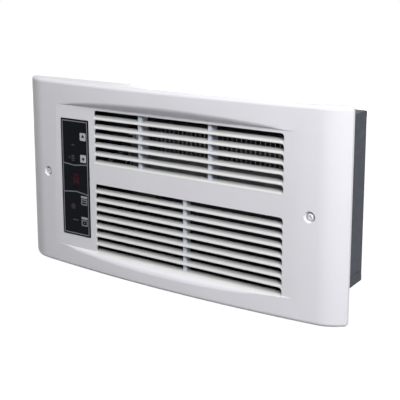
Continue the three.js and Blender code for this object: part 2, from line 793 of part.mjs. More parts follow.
function leftEndPlate() {
  const bolts = [-1, 1].map((side) => [axisY + side * motorBoltOffset, axisZ, motorBoltRadius + gap]);
  return endPlateSolid(-1, [
    [axisY, axisZ, 2 * shaftRadius], [elementY, elementZ, bushingRadius + gap],
    [cutout.y, cutout.z, 0.6 * cutout.radius], ...bolts]);
}

function rightEndPlate() {
  return endPlateSolid(1, [
    [axisY, axisZ, bearingRadius + gap], [elementY, elementZ, bushingRadius + gap]]);
}

// The rear guide winds away from the wheel, then runs forward as the roof of the outlet.
function blowerScroll() {
  const first = wheelRadius + scrollStartGap + scrollSheet / 2;
  const points = [polar(first + scrollLipLength, scrollStartAngle)];
  for (let i = 0; i <= scrollSteps; i += 1) {
    const share = i / scrollSteps;
    points.push(polar(first + scrollGrowth * share,
      scrollStartAngle + share * (90 - scrollStartAngle)));
  }
  points.push([axisY - wheelRadius, roofZ + scrollSheet / 2]);
  points.push([plateFront, roofZ + scrollSheet / 2]);
  return prism('x', sheetOutline(points, scrollSheet), sheetLeft, sheetRight);
}

// The tongue beside the wheel, carried forward as the floor between intake and outlet.
function airDeck() {
  const bankBottom = grilleRise + upperSlotTop - upperSlotCount * slotPitch;
  const frontZ = bankBottom - deckClearance;
  const tongue = wheelRadius + tongueGap + scrollSheet / 2;
  const points = [
    polar(tongue, tongueAngle + 12), polar(tongue, tongueAngle), polar(tongue + 3, tongueAngle - 8),
    [elementY, finBottom - deckClearance - scrollSheet], [plateFront - 2, frontZ + 2],
    [wallPlane - deckReach, frontZ]];
  return prism('x', sheetOutline(points, scrollSheet), sheetLeft, sheetRight);
}

function wheelBlade(turn) {
  const points = [];
  for (let i = 0; i <= 2; i += 1) {
    const share = i / 2;
    points.push(polar(wheelInnerRadius + share * (wheelRadius - 0.4 - wheelInnerRadius),
      turn + wheelBladeSweep * share ** 2));
  }
  return prism('x', sheetOutline(points, wheelBladeThickness),
    wheelLeft + wheelDisc / 2, wheelRight - wheelDisc / 2);
}

function blowerWheel() {
  const pieces = [
    bar('x', axisY, axisZ, wheelRadius, wheelLeft, wheelLeft + wheelDisc, 36),
    bar('x', axisY, axisZ, wheelRadius, wheelRight - wheelDisc, wheelRight, 36),
    bar('x', axisY, axisZ, hubRadius, wheelLeft, wheelLeft + hubLength, 16),
    bar('x', axisY, axisZ, shaftRadius, wheelRight - wheelDisc, stubEnd, 16),
  ];
  for (let i = 1; i <= wheelRingCount; i += 1) {
    const x = wheelLeft + ((wheelRight - wheelLeft) * i) / (wheelRingCount + 1);
    pieces.push(prism('x', outline(circlePoints(axisY, axisZ, wheelRadius, 36),
      [circlePoints(axisY, axisZ, wheelInnerRadius - 1, 24)]), x - wheelDisc / 2, x + wheelDisc / 2));
  }
  for (let i = 0; i < wheelBladeCount; i += 1) pieces.push(wheelBlade((360 * i) / wheelBladeCount));
  const bore = bar('x', axisY, axisZ, shaftRadius + gap, wheelLeft - 1, shaftRight + gap, 12);
  return union(pieces).subtract(bore);
}

const shaftRight = wheelLeft + hubLength - 3;
const shaftLeft = stackLeft - gap - bridgeRise - 2 * bridgeBossReach;
const stubEnd = rightPlateX + endPlate + bearingReach;

function endBearing() {
  const bore = shaftRadius + runningGap;
  const inner = rightPlateX - bearingReach / 3;
  const flange = rightPlateX + endPlate + gap;
  const outer = rightPlateX + endPlate + bearingReach;
  return turned('x', [
    [bore, inner], [bearingRadius, inner], [bearingRadius, flange], [bearingFlange, flange],
    [bearingFlange, flange + 1.6], [bearingRadius, flange + 1.6], [bearingRadius, outer],
    [bore, outer], [bore, inner]], axisY, axisZ, 16);
}

function fanShaft() {
  return bar('x', axisY, axisZ, shaftRadius, shaftLeft, shaftRight, 12);
}

// ---------------------------------------------------------------- motor

const barTop = axisZ - stackBottom + coilBarHeight;

function motorCore() {
  const [front, rear] = [axisY - stackWidth / 2, axisY + stackWidth / 2];
  const [low, high] = [axisZ - stackBottom, axisZ + stackTop];
  const windowHalf = coilBarWidth / 2 + 2;
  const window = [
    [axisY - windowHalf, barTop], [axisY + windowHalf, barTop],
    [axisY + windowHalf, barTop + coilThickness + 4], [axisY - windowHalf, barTop + coilThickness + 4]];
  const bolts = [-1, 1].map((side) => circlePoints(
    axisY + side * motorBoltOffset, axisZ, motorBoltRadius + gap, 10));
  return prism('x', outline(roundedRectangle(front, rear, low, high, 3, 2), [
    circlePoints(axisY, axisZ, rotorRadius + gap, 28), window, ...bolts]), stackLeft, stackRight);
}

function motorCoil() {
  const low = axisZ - stackBottom;
  const t = coilThickness;
  const outside = roundedRectangle(stackLeft - t, stackRight + t, low - t, barTop + t, 5);
  const bore = roundedRectangle(stackLeft - gap, stackRight + gap, low - gap, barTop + gap, 0.4, 1);
  return prism('y', outline(outside, [bore]), axisY + coilBarWidth / 2, axisY - coilBarWidth / 2);
}

function motorRotor() {
  return prism('x', outline(circlePoints(axisY, axisZ, rotorRadius, 28), [
    circlePoints(axisY, axisZ, shaftRadius + gap, 12)]), stackLeft, stackRight);
}

// A strap across one face of the stack, raised in the middle to carry the shaft's bearing.
function motorBridge(side) {
  const face = side < 0 ? stackLeft : stackRight;
  const foot = face + side * (gap + bridgeSheet / 2);
  const crown = foot + side * bridgeRise;
  const half = stackWidth / 2;
  const points = [
    [foot, axisY - half], [foot, axisY - half + 9], [crown, axisY - half + 13],
    [crown, axisY + half - 13], [foot, axisY + half - 9], [foot, axisY + half]];
  const strap = prism('z', sheetOutline(points, bridgeSheet),
    axisZ - bridgeWidth / 2, axisZ + bridgeWidth / 2);
  const boss = bar('x', axisY, axisZ, bridgeBearingRadius,
    crown - bridgeBossReach, crown + bridgeBossReach, 16);
  const bore = bar('x', axisY, axisZ, shaftRadius + runningGap, crown - 10, crown + 10, 16);
  const holes = [-1, 1].map((end) => bar('x', axisY + end * motorBoltOffset, axisZ,
    motorBoltRadius + gap, foot - 2 * bridgeSheet, foot + 2 * bridgeSheet, 12));
  return without(strap.add(boss), [bore, ...holes]);
}

function motorBolt(side) {
  const seat = stackLeft - bridgeSheet - 2 * gap;
  return turned('x', [
    [0, seat - boltHeadHeight], [boltHeadRadius, seat - boltHeadHeight], [boltHeadRadius, seat],
    [motorBoltRadius, seat], [motorBoltRadius, leftPlateX + endPlate],
    [0, leftPlateX + endPlate]], axisY + side * motorBoltOffset, axisZ, 12);
}

function motorSpacer(side) {
  const start = stackRight + bridgeSheet + 2 * gap;
  const end = leftPlateX - endPlate - gap;
  const y = axisY + side * motorBoltOffset;
  return prism('x', outline(circlePoints(y, axisZ, spacerRadius, 12), [
    circlePoints(y, axisZ, motorBoltRadius + gap, 12)]), start, end);
}

// ---------------------------------------------------------------- heating element

// A straight sheathed rod with thin rectangular fins pressed onto it.
function heatingElement() {
  const rod = bar('x', elementY, elementZ, sheathRadius,
    finLeft - sheathOverhang, finRight + sheathOverhang, 8);
  const count = Math.floor((finRight - finLeft) / finPitch) + 1;
  const fins = [];
  for (let i = 0; i < count; i += 1) {
    const x = finLeft + i * finPitch;
    fins.push(block(x - finThickness / 2, x + finThickness / 2,
      elementFrontY, elementFrontY + finDepth, finBottom, finTop));
  }
  return union([rod, ...fins]);
}

function elementBushing(side) {
  const plate = side < 0 ? leftPlateX : rightPlateX;
  const at = (distance) => plate + side * distance;
  const bore = sheathRadius + gap;
  const flange = endPlate + gap;
  const profile = [
    [bore, at(-1)], [bushingRadius, at(-1)], [bushingRadius, at(flange)],
    [bushingFlange, at(flange)], [bushingFlange, at(flange + bushingFlangeThickness)],
    [bushingRadius - 1, at(flange + bushingFlangeThickness)],
    [bushingRadius - 1, at(2 * flange + bushingFlangeThickness + 1)],
    [bore, at(2 * flange + bushingFlangeThickness + 1)], [bore, at(-1)]];
  return turned('x', side < 0 ? profile.reverse() : profile, elementY, elementZ, 14);
}

function elementTerminal(side) {
  const end = side < 0 ? finLeft - sheathOverhang : finRight + sheathOverhang;
  const at = (distance) => end + side * distance;
  const profile = [
    [0, at(gap)], [sheathRadius - 0.5, at(gap)], [sheathRadius - 0.5, at(gap + 1.5)],
    [terminalRadius, at(gap + 1.5)], [terminalRadius, at(terminalLength)],
    [0, at(terminalLength)]];
  return turned('x', side < 0 ? profile.reverse() : profile, elementY, elementZ, 8);
}

// A disc thermostat screwed flat on the outlet's left wall, with two blade terminals.
function thermalCutout() {
  const face = leftPlateX - endPlate - gap;
  const { y, z, radius, depth, earSpan, earWidth, ear } = cutout;
  const disc = bar('x', y, z, radius, face - depth, face, 20);
  const flange = block(face - ear, face, y - earWidth / 2, y + earWidth / 2,
    z - earSpan / 2, z + earSpan / 2);
  const blades = [-1, 1].map((side) => block(face - depth - cutout.blade, face - depth + 1,
    y + side * cutout.bladeOffset - 0.4, y + side * cutout.bladeOffset + 0.4, z - 3, z + 3));
  return union([disc, flange, ...blades]);
}

// ---------------------------------------------------------------- electrical pieces

function terminalBlockSolid() {
  const { x, z, width, height, depth, poles } = terminalBlock;
  const rear = canInnerBack - gap;
  const front = rear - depth;
  const body = block(x - width / 2, x + width / 2, rear, front, z - height / 2, z + height / 2);
  const cuts = [];
  const pitch = width / poles;
  for (let i = 0; i < poles; i += 1) {
    const poleX = x - width / 2 + (i + 0.5) * pitch;
    cuts.push(bar('y', poleX, z, 0.28 * pitch, front + depth / 3, front - 1, 12));
    cuts.push(block(poleX - 0.3 * pitch, poleX + 0.3 * pitch, front + depth / 3, front + 0.75 * depth,
      z - height, z - height / 4));
  }
  return without(body, cuts);
}

function groundScrewSolid() {
  return panScrew(panHeadRadius, panHeadHeight, panShankRadius, groundScrew.x, groundScrew.z,
    weldNutTop - gap, canInnerBack - 2 * gap);
}

function footScrew([x, z]) {
  return panScrew(panHeadRadius, panHeadHeight, panShankRadius, x, z,
    plateRear - endPlate - gap, canInnerBack - 2 * gap);
}

const trayFront = canInnerBack - gap - powerTray.sheet;
const powerBoardRear = trayFront - powerTray.post - gap;
const powerBoardFront = powerBoardRear - boardThickness;

function powerTraySolid() {
  const { x, z, width, height, sheet, post, postRadius } = powerTray;
  const plate = block(x - width / 2, x + width / 2, trayFront, trayFront + sheet,
    z - height / 2, z + height / 2);
  const posts = [];
  for (const sideX of [-1, 1]) {
    for (const sideZ of [-1, 1]) {
      posts.push(bar('y', x + sideX * (width / 2 - 2 * postRadius),
        z + sideZ * (height / 2 - 2 * postRadius), postRadius,
        trayFront + sheet / 2, trayFront - post, 12));
    }
  }
  return union([plate, ...posts]);
}

function powerBoard() {
  const { x, z, width, height } = powerTray;
  return block(x - width / 2 + 1, x + width / 2 - 1, powerBoardRear, powerBoardFront,
    z - height / 2 + 1, z + height / 2 - 1);
}

function boardBlock({ x, z, width, height, depth }) {
  const shape = outline(roundedRectangle(x - width / 2, x + width / 2,
    z - height / 2, z + height / 2, 1, 2));
  return prism('y', shape, powerBoardFront - gap, powerBoardFront - gap - depth);
}

// ---------------------------------------------------------------- leads

// A lead along a smooth curve through the given points; its outline is swept along the curve.
function swept(shape, points, steps) {
  const curve = new THREE.CatmullRomCurve3(points.map((point) => new THREE.Vector3(...point)));
  return solidFrom(new THREE.ExtrudeGeometry(shape, { steps, extrudePath: curve }));
}

function roundLead(points, steps = 14) {
  return swept(outline(circlePoints(0, 0, leadRadius, leadSides)), points, steps);
}

const boardSeat = powerBoardFront - gap;
const boardBottom = powerTray.z - powerTray.height / 2;
const jointZ = boardBottom + jointInset;

// From one pole of the terminal block up to the lower edge of the power board.
function supplyLead(side) {
  const poleX = terminalBlock.x + (side * terminalBlock.width) / terminalBlock.poles;
  const poleY = canInnerBack - gap - terminalBlock.depth / 2;
  const poleZ = terminalBlock.z + terminalBlock.height / 2 + gap;
  const end = [terminalBlock.x + side * supplyJointOffset, boardSeat, jointZ];
  return roundLead([
    [poleX, poleY, poleZ], [poleX, poleY, poleZ + leadSag / 2],
    [poleX, poleY - leadSag, (poleZ + boardBottom) / 2],
    [end[0], boardSeat - leadSag, boardBottom], [end[0], boardSeat - leadSag / 2, end[2]], end]);
}

const cutoutTipX = leftPlateX - endPlate - gap - cutout.depth - cutout.blade - gap;
const leftTerminalX = finLeft - sheathOverhang - terminalLength - gap;
const rightTerminalX = finRight + sheathOverhang + terminalLength + gap;

// A short loop from the element's left terminal to the thermal cut-out.
function cutoutLead() {
  const y = cutout.y - cutout.bladeOffset;
  return roundLead([
    [leftTerminalX, elementY, elementZ], [leftTerminalX - leadStub, elementY, elementZ],
    [leftTerminalX - leadSag / 2, (elementY + y) / 2, (elementZ + cutout.z) / 2],
    [cutoutTipX - leadStub, y, cutout.z], [cutoutTipX, y, cutout.z]], 12);
}

// From the thermal cut-out over the motor to the power board.
function elementLeadLeft() {
  const y = cutout.y + cutout.bladeOffset;
  const end = [relay.x + relayJointOffset, boardSeat, relay.z];
  return roundLead([
    [cutoutTipX, y, cutout.z], [cutoutTipX - leadSag / 2, y, cutout.z],
    [cutoutTipX - 2 * leadSag, (y + end[1]) / 2, (cutout.z + end[2]) / 2 + leadSag / 2],
    [end[0], boardSeat - leadSag / 2, end[2]], end], 18);
}

// From the element's right terminal down and along the rear wall, under the blower, to the
// power board.
function elementLeadRight() {
  const clearance = gap + 3 * leadRadius;
  const x = canHalfWidth - canSheet - clearance;
  const y = canInnerBack - clearance;
  const z = plateBottom - leadSag / 2;
  const turn = leadSag;
  const end = [terminalBlock.x + returnJointOffset, boardSeat, jointZ];
  return roundLead([
    [rightTerminalX, elementY, elementZ], [rightTerminalX + leadStub, elementY, elementZ],
    [x, elementY + turn / 3, elementZ - turn / 3],
    [x, elementY + turn, elementZ - turn], [x, axisY, axisZ], [x, y - turn, z + turn],
    [x - turn, y, z], [x - 2 * turn, y, z], [leftPlateX, y, z], [leftPlateX - 2 * turn, y, z],
    [leftPlateX - 3 * turn, y - turn / 8, z + turn / 8],
    [end[0], boardSeat - turn, boardBottom], [end[0], boardSeat - turn / 2, end[2]], end], 44);
}

// From the motor's coil to the power board.
function motorLead() {
  const coilX = stackLeft - coilThickness - gap;
  const coilZ = axisZ - stackBottom + coilBarHeight / 2;
  const end = [powerTray.x + powerTray.width / 2 - motorJointInset, boardSeat, jointZ];
  return roundLead([
    [coilX, axisY, coilZ], [coilX - leadSag / 2, axisY, coilZ],
    [end[0], (axisY + boardSeat) / 2, (coilZ + end[2]) / 2], [end[0], boardSeat - leadSag / 2, end[2]],
    end]);
}

// A flat cable from the control board, through its slot in the housing, to the power board.
function controlRibbon() {
  const shape = outline([
    [-ribbonWidth / 2, -ribbonThickness / 2], [ribbonWidth / 2, -ribbonThickness / 2],
    [ribbonWidth / 2, ribbonThickness / 2], [-ribbonWidth / 2, ribbonThickness / 2]]);
  const x = bezelCentreX;
  const z = bezelCentreZ;
  return swept(shape, [
    [x, boardRear + gap, z], [x, housingRear + 2 * leadRadius, z],
    [x - 2, (housingRear + boardSeat) / 2, z + leadSag / 2], [x - 4, boardSeat - leadSag / 2, relay.z],
    [x - 4, boardSeat, relay.z]], 16);
}

// ---------------------------------------------------------------- assembly

addPart('wall_can', wallCan(), materials.darkSteel);
addPart('front_grille', frontGrille(), materials.white);
addPart('grille_screw_left', grilleScrew(-1), materials.white);
addPart('grille_screw_right', grilleScrew(1), materials.white);

addPart('control_bezel', controlBezel(), materials.black);
addPart('display_window', displayWindow(), materials.smoke);
addPart('led_display', ledDisplay(), materials.plastic);
for (const [name, height] of Object.entries(keyHeights)) {
  addPart(name, key(grilleRise + height), materials.keyGrey);
  addPart(`${name}_switch`, keySwitch(grilleRise + height), materials.plastic);
}
addPart('control_board', controlBoard(), materials.board);
addPart('control_housing', controlHousing(), materials.plastic);
addPart('housing_screw_lower', housingScrew(housingScrewHeights[0]), materials.screw);
addPart('housing_screw_upper', housingScrew(housingScrewHeights[1]), materials.screw);
addPart('temperature_sensor', temperatureSensor(), materials.rubber);

addPart('blower_end_left', leftEndPlate(), materials.galvanised);
addPart('blower_end_right', rightEndPlate(), materials.galvanised);
addPart('blower_scroll', blowerScroll(), materials.galvanised);
addPart('air_deck', airDeck(), materials.galvanised);
addPart('blower_wheel', blowerWheel(), materials.aluminium);
addPart('end_bearing', endBearing(), materials.rubber);
addPart('fan_shaft', fanShaft(), materials.screw);
addPart('motor_core', motorCore(), materials.galvanised);
addPart('motor_coil', motorCoil(), materials.copper);
addPart('motor_rotor', motorRotor(), materials.aluminium);
addPart('motor_bridge_outer', motorBridge(-1), materials.galvanised);
addPart('motor_bridge_inner', motorBridge(1), materials.galvanised);
addPart('motor_bolt_front', motorBolt(-1), materials.screw);
addPart('motor_bolt_rear', motorBolt(1), materials.screw);
addPart('motor_spacer_front', motorSpacer(-1), materials.screw);
addPart('motor_spacer_rear', motorSpacer(1), materials.screw);

addPart('heating_element', heatingElement(), materials.aluminium);
addPart('element_bushing_left', elementBushing(-1), materials.ceramic);
addPart('element_bushing_right', elementBushing(1), materials.ceramic);
addPart('element_terminal_left', elementTerminal(-1), materials.screw);
addPart('element_terminal_right', elementTerminal(1), materials.screw);
addPart('thermal_cutout', thermalCutout(), materials.plastic);

addPart('terminal_block', terminalBlockSolid(), materials.ceramic);
addPart('ground_screw', groundScrewSolid(), materials.screw);
addPart('power_tray', powerTraySolid(), materials.plastic);
addPart('power_board', powerBoard(), materials.board);
addPart('power_relay', boardBlock(relay), materials.relay);
addPart('board_transformer', boardBlock(transformer), materials.relay);
addPart('supply_lead_left', supplyLead(-1), materials.rubber);
addPart('supply_lead_right', supplyLead(1), materials.leadWhite);
addPart('cutout_lead', cutoutLead(), materials.leadWhite);
addPart('element_lead_left', elementLeadLeft(), materials.rubber);
addPart('element_lead_right', elementLeadRight(), materials.leadWhite);
addPart('motor_lead', motorLead(), materials.rubber);
addPart('control_ribbon', controlRibbon(), materials.leadWhite);
footScrewPlaces().forEach((place, i) => addPart(
  `foot_screw_${['left_lower', 'left_upper', 'right_lower', 'right_upper'][i]}`,
  footScrew(place), materials.screw));

export default heater;
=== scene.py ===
import math

import bpy
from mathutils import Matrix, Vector


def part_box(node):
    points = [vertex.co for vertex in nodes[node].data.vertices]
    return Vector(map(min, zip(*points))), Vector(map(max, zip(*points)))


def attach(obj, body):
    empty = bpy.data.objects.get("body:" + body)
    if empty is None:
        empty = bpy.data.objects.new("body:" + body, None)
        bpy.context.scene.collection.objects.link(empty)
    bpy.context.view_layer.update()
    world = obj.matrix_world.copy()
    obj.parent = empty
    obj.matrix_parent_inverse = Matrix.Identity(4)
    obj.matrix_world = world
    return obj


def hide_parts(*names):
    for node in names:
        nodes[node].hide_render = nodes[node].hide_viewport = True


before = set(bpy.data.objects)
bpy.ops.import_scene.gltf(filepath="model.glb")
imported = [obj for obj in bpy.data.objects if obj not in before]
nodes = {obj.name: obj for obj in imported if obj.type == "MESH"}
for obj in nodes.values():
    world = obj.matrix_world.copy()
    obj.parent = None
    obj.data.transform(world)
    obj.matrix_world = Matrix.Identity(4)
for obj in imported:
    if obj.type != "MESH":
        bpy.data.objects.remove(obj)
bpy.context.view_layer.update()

bpy.ops.object.select_all(action="DESELECT")

# Camera: a little to the right of the heater and above it, at the photograph's angle, with its
# lens shifted so that the upright edges stay nearly upright.
camera_yaw = math.radians(33.818)
camera_pitch = math.radians(10.213)
camera_data = bpy.data.cameras.new("photo_camera")
camera_data.sensor_width = 36
camera_data.lens = 76.924
camera_data.shift_y = -0.2
camera_data.clip_start = 0.05
camera = bpy.data.objects.new("photo_camera", camera_data)
camera.location = (0.5394, -0.8558, 0.2493)
camera.rotation_euler = (math.pi / 2 - camera_pitch, 0, camera_yaw)
bpy.context.scene.collection.objects.link(camera)
bpy.context.scene.camera = camera


# Floor and room: a plain white floor that keeps the heater's soft shadow, in a white room. Both
# are whiter to the camera, to gloss and to clear parts than they light the heater, and the
# floor a little less so near the heater, where the shadow falls.
floor_level = -0.1085
floor_size = 8
shadow_reach, white_reach = 0.35, 1.1
shadow_glow, white_glow = 0.93, 1
room_light = 0.03


class Value:
    """One number that varies over a surface and takes part in Python sums."""

    def __init__(self, shading, socket):
        self.shading = shading
        self.socket = socket

    def maths(self, operation, first, second):
        return self.shading.node("ShaderNodeMath", {"operation": operation}, {0: first, 1: second})

    def __add__(self, other):
        return self.maths("ADD", self, other)

    def __sub__(self, other):
        return self.maths("SUBTRACT", self, other)

    def __rsub__(self, other):
        return self.maths("SUBTRACT", other, self)

    def __mul__(self, other):
        return self.maths("MULTIPLY", self, other)

    __radd__ = __add__
    __rmul__ = __mul__


class Shading:
    """The shader nodes of one material, or of the room, all added by the node method."""

    def __init__(self, owner):
        owner.use_nodes = True
        self.tree = owner.node_tree
        self.tree.nodes.clear()

    def node(self, kind, settings=None, inputs=None, output=0):
        made = self.tree.nodes.new(kind)
        for key, value in (settings or {}).items():
            setattr(made, key, value)
        for key, value in (inputs or {}).items():
            if isinstance(value, Value):
                self.tree.links.new(value.socket, made.inputs[key])
            else:
                made.inputs[key].default_value = value
        return Value(self, made.outputs[output]) if len(made.outputs) else None

    def seen_directly(self):
        """1 where the camera, gloss or a clear part looks, and 0 where light is gathered."""
        rays = ["Is Camera Ray", "Is Glossy Ray", "Is Transmission Ray"]
        camera_ray, gloss_ray, clear_ray = [self.node("ShaderNodeLightPath", output=ray) for ray in rays]
        return self.node("ShaderNodeMath", {"operation": "MINIMUM"},
                         {0: camera_ray + gloss_ray + clear_ray, 1: 1})


class Finish(Shading):
    """One material, with the patterns that the heater's surfaces share."""

    def __init__(self, name):
        self.material = bpy.data.materials.new(name)
        super().__init__(self.material)
        self.place = self.node("ShaderNodeTexCoord", output="Object")

    def noise(self, size, detail=3, stretch=(1, 1, 1)):
        """Cloudy noise from 0 to 1, with lumps of about this size in metres."""
        place = self.node("ShaderNodeMapping", {}, {"Vector": self.place, "Scale": stretch})
        return self.node("ShaderNodeTexNoise", {},
                         {"Vector": place, "Scale": 1 / size, "Detail": detail, "Roughness": 0.55})

    def step(self, value, low, high):
        """0 below the low bound, 1 above the high one, and a smooth rise between them."""
        return self.node("ShaderNodeMapRange", {"interpolation_type": "SMOOTHSTEP"},
                         {"Value": value, "From Min": low, "From Max": high})

    def tint(self, share, first, second):
        """The first colour where the share is 0 and the second where it is 1."""
        return self.node("ShaderNodeMix", {"data_type": "RGBA"}, {0: share, 6: first, 7: second}, 2)

    def bump(self, height, depth):
        return self.node("ShaderNodeBump", {}, {"Height": height, "Distance": depth, "Strength": 1})

    def finish(self, sockets):
        shader = self.node("ShaderNodeBsdfPrincipled", {}, sockets)
        self.node("ShaderNodeOutputMaterial", {}, {"Surface": shader})
        return self.material


def colour(red, green, blue):
    """A colour as it looks, each part from 0 to 255, in the linear levels that a shader takes."""
    levels = [level / 255 for level in (red, green, blue)]
    return (*[v / 12.92 if v <= 0.04045 else ((v + 0.055) / 1.055) ** 2.4 for v in levels], 1)


bpy.ops.mesh.primitive_plane_add(size=floor_size, location=(0, 0, floor_level))
floor = bpy.context.object
floor.name = "floor"
floor_finish = Finish("floor_white")
floor_tone = floor_finish.noise(0.4)
floor_colour = floor_finish.tint(floor_tone, colour(128, 128, 129), colour(136, 136, 137))
floor_reach = floor_finish.node(
    "ShaderNodeVectorMath", {"operation": "LENGTH"}, {0: floor_finish.place}, "Value")
floor_far = floor_finish.step(floor_reach, shadow_reach, white_reach)
floor_glow = floor_finish.seen_directly() * (shadow_glow + floor_far * (white_glow - shadow_glow))
floor_light = floor_finish.tint(floor_glow, colour(0, 0, 0), colour(255, 255, 255))
floor.data.materials.append(floor_finish.finish({
    "Base Color": floor_colour, "Roughness": 0.9, "Specular IOR Level": 0,
    "Emission Color": floor_light, "Emission Strength": 1}))

world = bpy.data.worlds.new("studio")
bpy.context.scene.world = world
room = Shading(world)
room_seen = room.seen_directly()
room_strength = room_seen + (1 - room_seen) * room_light
room_shade = room.node("ShaderNodeBackground", {}, {"Color": (1, 1, 1, 1), "Strength": room_strength})
room.node("ShaderNodeOutputWorld", {}, {"Surface": room_shade})

# Lamps: round soft boxes aimed at the heater. The main one is high over the front right, a weak
# one at its side and one above the front, and one behind, out of the camera's sight, lights the
# can's back.
lamp_size = 0.7
front_aim = (0, -0.1, 0)
back_aim = (0, -0.05, 0)


def soft_box(name, place, aim, power, in_view=True):
    """A round lamp that faces its aim."""
    lamp = bpy.data.lights.new(name, "AREA")
    lamp.shape = "DISK"
    lamp.size = lamp_size
    lamp.energy = power
    box = bpy.data.objects.new(name, lamp)
    box.location = place
    box.rotation_euler = (Vector(place) - Vector(aim)).to_track_quat("Z", "Y").to_euler()
    box.visible_camera = in_view
    bpy.context.scene.collection.objects.link(box)


soft_box("key_box", (1.3, -0.9, 0.85), front_aim, power=26)
soft_box("side_box", (1.6, -0.3, 0.7), front_aim, power=1)
soft_box("top_box", (0, -0.75, 1.25), front_aim, power=10.8)
soft_box("back_box", (-0.8, 1.3, 0.02), back_aim, power=20, in_view=False)
bpy.context.scene.view_settings.view_transform = "Standard"


# Grille: one moulded cover, bowed outwards, with a sunk panel of louvres and upright ribs. It is
# a cool satin white with a fine texture, and it stands proud of the wall in front of the can.
panel_face = -0.1204
blade_front = panel_face - 0.0003
rib_front = panel_face + 0.0020
# the depth behind the face at which the blades' painted shade is darkest
full_shade_depth = panel_face + 0.0026
slot_left, slot_right = -0.1003, 0.147
louvre_banks = [  # each bank's lowest and highest slot edge, and the middles of its ribs
    (0.0227, 0.0863, [-0.036, 0.057]),
    (-0.0853, -0.0005, [0.0245]),
]
rib_half = 0.0018
soft_edge = 0.0004
cream_share = 0.7
# painted shade on the blades: a little over their fronts, and more where they run back into the heater
front_shade, back_shade = 0.04, 0.45


def between(finish, value, low, high):
    """1 where the value lies between two bounds, with a soft edge outside each."""
    return finish.step(value, low - soft_edge, low) * (1 - finish.step(value, high, high + soft_edge))


def louvre_painted_shade(coat, base):
    """The blades are creamier than the cover and get painted shade that deepens as they run back
    behind its face, and the ribs behind the blades' fronts are left out of it and tinted blue-grey."""
    x, y, z = [coat.node("ShaderNodeSeparateXYZ", {}, {"Vector": coat.place}, axis) for axis in "XYZ"]
    back = coat.step(y, blade_front, full_shade_depth)
    behind = coat.step(y, rib_front, full_shade_depth)
    shaded = base
    for low, high, ribs in louvre_banks:
        bank = between(coat, z, low, high) * between(coat, x, slot_left, slot_right)
        rib = bank * behind * sum(between(coat, x, at - rib_half, at + rib_half) for at in ribs)
        blade = bank - rib
        shaded = coat.tint(blade * cream_share, shaded, colour(226, 226, 224))
        # Painted shade, darkest where a blade runs furthest back into the heater.
        shaded = coat.tint(blade * (back * back_shade + front_shade), shaded, colour(30, 30, 28))
        shaded = coat.tint(rib, shaded, colour(206, 214, 228))
    return shaded


def toned(shade, factor):
    """A lighter or darker tone of the same colour."""
    return (*[factor * level for level in shade[:3]], 1)


def satin_white(name, shade, roughness, texture, louvres=False):
    coat = Finish(name)
    drift = coat.noise(0.06)
    grain = coat.noise(0.0022, detail=2)
    dust = coat.step(coat.noise(0.0009, detail=2), 0.68, 0.8)
    base = coat.tint(drift, shade, toned(shade, 0.95))
    coat_colour = coat.tint(dust * 0.1, base, colour(150, 150, 155))
    # On the grille, the louvre blades also get painted shade that darkens them as they run back.
    if louvres:
        coat_colour = louvre_painted_shade(coat, coat_colour)
    return coat.finish({
        "Base Color": coat_colour, "Roughness": roughness + (grain - 0.5) * 0.12 + (drift - 0.5) * 0.08,
        "Specular IOR Level": 0.25, "Normal": coat.bump(grain, texture)})


def pick(piece):
    bpy.ops.object.select_all(action="DESELECT")
    piece.select_set(True)
    bpy.context.view_layer.objects.active = piece


def coat_all(piece, material):
    piece.data.materials.clear()
    piece.data.materials.append(material)
    for polygon in piece.data.polygons:
        polygon.material_index = 0


def apply(piece, kind, settings):
    modifier = piece.modifiers.new(kind.lower(), kind)
    for key, value in settings.items():
        setattr(modifier, key, value)
    bpy.ops.object.modifier_apply(modifier=modifier.name)


merge_distance = 0.00001
flat_angle = math.radians(0.2)


def recut(node):
    """A copy of a CAD node with its corners joined up, so that its edges can be worked on."""
    piece = nodes[node].copy()
    piece.data = nodes[node].data.copy()
    piece.name = node + "_finished"
    bpy.context.scene.collection.objects.link(piece)
    piece.parent = None
    pick(piece)
    bpy.ops.mesh.customdata_custom_splitnormals_clear()
    bpy.ops.object.mode_set(mode="EDIT")
    bpy.ops.mesh.select_mode(type="EDGE")
    bpy.ops.mesh.select_all(action="SELECT")
    bpy.ops.mesh.remove_doubles(threshold=merge_distance)
    bpy.ops.mesh.dissolve_limited(angle_limit=flat_angle)
    bpy.ops.object.mode_set(mode="OBJECT")
    return piece


def smooth_curves(piece, crease):
    """Shades a piece smooth, with a sharp edge wherever two faces meet at more than the crease."""
    pick(piece)
    bpy.ops.object.mode_set(mode="EDIT")
    bpy.ops.mesh.select_mode(type="EDGE")
    bpy.ops.mesh.select_all(action="SELECT")
    bpy.ops.mesh.mark_sharp(clear=True)
    bpy.ops.mesh.select_all(action="DESELECT")
    bpy.ops.mesh.edges_select_sharp(sharpness=math.radians(crease))
    bpy.ops.mesh.mark_sharp()
    bpy.ops.object.mode_set(mode="OBJECT")
    bpy.ops.object.shade_smooth()
    apply(piece, "WEIGHTED_NORMAL", {"keep_sharp": True})


def fit(piece, node, body, material):
    """Puts a finished piece in a CAD node's place, on its body."""
    coat_all(piece, material)
    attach(piece, body)
    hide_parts(node)


def dress(node, body, material, crease=30):
    """Takes a CAD node's shape as it is, smooths its curves and gives it its real finish."""
    piece = recut(node)
    smooth_curves(piece, crease)
    fit(piece, node, body, material)


grille_white = satin_white(
    "grille_white", colour(228, 227, 233), roughness=0.42, texture=0.00002, louvres=True)
grille = recut("front_grille")

